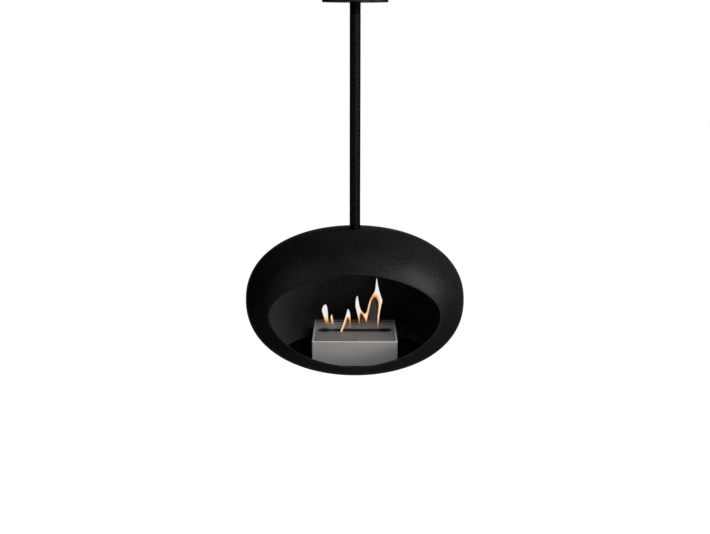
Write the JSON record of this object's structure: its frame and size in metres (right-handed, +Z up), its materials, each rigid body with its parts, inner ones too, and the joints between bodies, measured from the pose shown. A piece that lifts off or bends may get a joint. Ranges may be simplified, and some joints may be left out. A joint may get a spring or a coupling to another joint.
{
  "type": "hanging fireplace",
  "caption": "Round black steel fire bowl with an oval mouth, hung from the ceiling on a slim turning pole, holding a lift-out liquid-fuel burner with a sliding lid.",
  "frame": {"origin": "centre of the ceiling plate's top face, on the axis that the pole turns about", "axes": "+Z up out of the ceiling face and along the pole's axis, the mouth of the bowl faces -Y, +X to the right seen from the front"},
  "size_m": [0.6, 0.5468, 1.001],
  "materials": {
    "black_coat": "fine-textured matt black powder coat",
    "bronze": "turned",
    "slip_plastic": "satin",
    "bolt_steel": "zinc plated",
    "burner_steel": "fine brushed stainless",
    "lid_steel": "fine brushed stainless, heat tinted",
    "blackened_steel": "heat-blackened",
    "tank_steel": "mill finish",
    "runner_brass": "dull",
    "white_wool": "fibrous",
    "foot_rubber": "matt"
  },
  "bodies": {
    "ceiling": {"ceiling_plate": "black_coat", "ceiling_hub": "black_coat", "swivel_bush": "bronze", "thrust_washer": "bronze"},
    "bowl": {"swivel_bolt": "bolt_steel", "slip_washer": "slip_plastic", "pole_top_plug": "bolt_steel", "pole_tube": "black_coat", "pole_bottom_plug": "bolt_steel", "hanging_stud": "bolt_steel", "bowl_upper": "black_coat", "bowl_lower": "black_coat", "crown_stiffener": "black_coat", "crown_washer": "bolt_steel", "crown_nut": "bolt_steel", "lock_nut": "bolt_steel", "floor_gussets": "black_coat", "floor_plate": "black_coat", "floor_screws": "bolt_steel"},
    "burner": {"burner_casing": "burner_steel", "casing_back": "burner_steel", "casing_rivets": "bolt_steel", "burner_feet": "foot_rubber", "fuel_tank": "tank_steel", "ceramic_wool": "white_wool", "wool_screen": "blackened_steel", "burner_top_plate": "blackened_steel", "top_plate_screws": "bolt_steel", "tank_weld_nuts": "bolt_steel", "runner_left": "runner_brass", "runner_right": "runner_brass"},
    "lid": {"sliding_lid": "lid_steel"}
  },
  "joints": [
    {"name": "bowl_swivel", "type": "hinge", "parent": "ceiling", "child": "bowl", "pos_m": [0, 0, 0], "axis": [0, 0, 1], "continuous": true},
    {"name": "burner_lift", "type": "slide", "parent": "bowl", "child": "burner", "axis": [0, -0.8771, 0.4802], "range_m": [0, 0.4]},
    {"name": "lid_slide", "type": "slide", "parent": "burner", "child": "lid", "axis": [0, 1, 0], "range_m": [0, 0.0178]}
  ]
}
